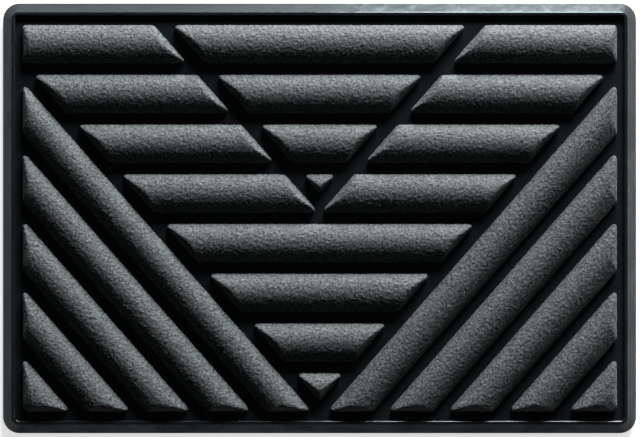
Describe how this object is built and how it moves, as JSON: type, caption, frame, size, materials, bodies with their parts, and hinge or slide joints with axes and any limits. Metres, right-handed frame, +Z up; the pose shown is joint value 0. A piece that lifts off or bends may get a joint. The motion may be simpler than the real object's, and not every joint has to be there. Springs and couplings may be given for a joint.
{
  "type": "snowboard stomp pad",
  "caption": "Flat rectangular snowboard stomp pad: a gloss tray with a bevelled rim, crowned grip bars in level rows and slanting V flanks, and an adhesive back.",
  "frame": {"origin": "centre of the release liner's underside, the face the pad lies on before it is stuck down", "axes": "+X along the long side, +Y across the pad from the point of the V towards its open side, +Z up out of the grip bars"},
  "size_m": [0.1532, 0.104, 0.005],
  "materials": {
    "tray": "gloss",
    "grip": "fine matte grain",
    "adhesive": "tacky closed-cell foam",
    "liner": "satin coated film"
  },
  "bodies": {
    "liner": {"release_liner": "liner"},
    "pad": {"adhesive_sheet": "adhesive", "base_tray": "tray", "bar_row1_left": "grip", "bar_row1_centre": "grip", "bar_row1_right": "grip", "bar_row2_left": "grip", "bar_row2_centre": "grip", "bar_row2_right": "grip", "bar_row3_left": "grip", "bar_row3_centre": "grip", "bar_row3_right": "grip", "bar_row4_left": "grip", "bar_row4_centre": "grip", "bar_row4_right": "grip", "bar_row5": "grip", "bar_row6": "grip", "bar_row7": "grip", "bar_row8": "grip", "bar_slant1_left": "grip", "bar_slant1_right": "grip", "bar_slant2_left": "grip", "bar_slant2_right": "grip", "bar_slant3_left": "grip", "bar_slant3_right": "grip", "bar_slant4_left": "grip", "bar_slant4_right": "grip", "bar_slant5_left": "grip", "bar_slant5_right": "grip"}
  },
  "joints": [
    {"name": "pad_peel", "type": "slide", "parent": "liner", "child": "pad", "axis": [0, 0, 1], "range_m": [0, 0.03]}
  ]
}
